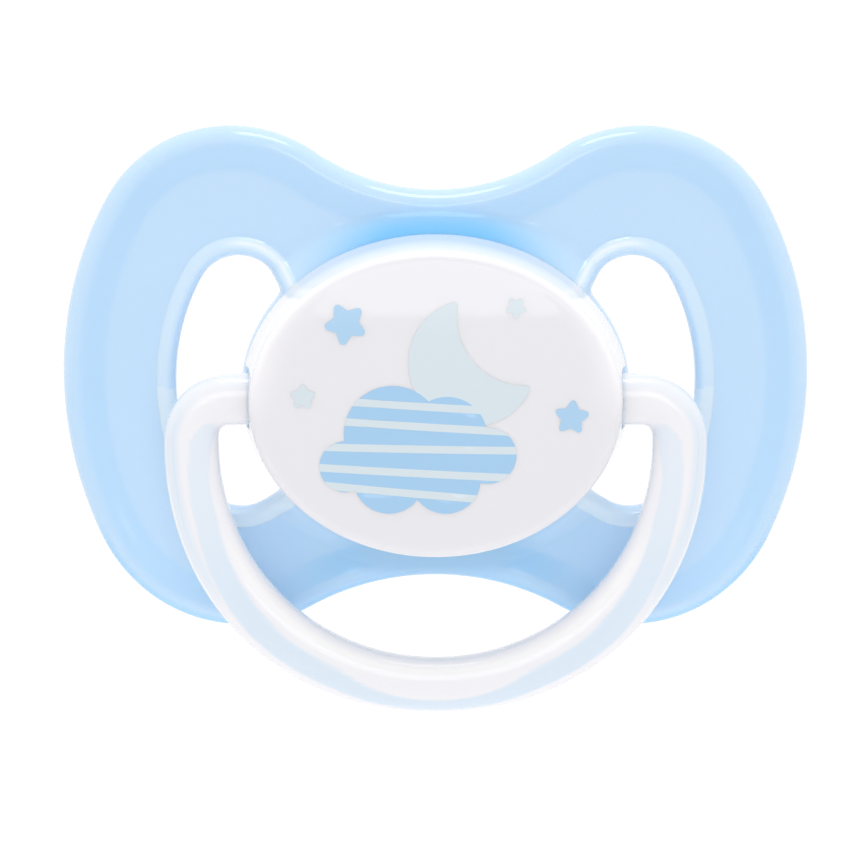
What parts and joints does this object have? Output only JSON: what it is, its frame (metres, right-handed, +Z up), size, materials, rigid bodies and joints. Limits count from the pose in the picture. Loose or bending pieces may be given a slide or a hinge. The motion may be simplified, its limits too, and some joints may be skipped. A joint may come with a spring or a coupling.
{
  "type": "pacifier",
  "caption": "Baby pacifier: butterfly-shaped vented shield, domed oval cover with a printed night sky, hollow silicone teat and a swinging ring handle.",
  "frame": {"origin": "on the teat's axis, at the rear face of the shield's hub", "axes": "+Z up as worn, with the ring hanging down; +Y back along the teat, away from the cover; +X across the wings"},
  "size_m": [0.056, 0.0368, 0.0432],
  "materials": {
    "shield_plastic": "polished, slightly translucent",
    "silicone": "clear satin silicone",
    "plug_plastic": "plain moulded",
    "ring_plastic": "polished, milky translucent",
    "cover_plastic": "polished",
    "blue_ink": "printed under gloss",
    "pale_ink": "printed under gloss"
  },
  "bodies": {
    "shield_body": {"shield": "shield_plastic", "teat": "silicone", "plug": "plug_plastic", "cover": "cover_plastic", "cloud_print": "blue_ink", "cloud_line_print": "pale_ink", "moon_print": "pale_ink", "blue_star_prints": "blue_ink", "pale_star_prints": "pale_ink"},
    "ring": {"ring_handle": "ring_plastic"}
  },
  "joints": [
    {"name": "ring_hinge", "type": "hinge", "parent": "shield_body", "child": "ring", "pos_m": [0, -0.005, 0], "axis": [-1, 0, 0], "range_deg": [-5, 184]}
  ]
}
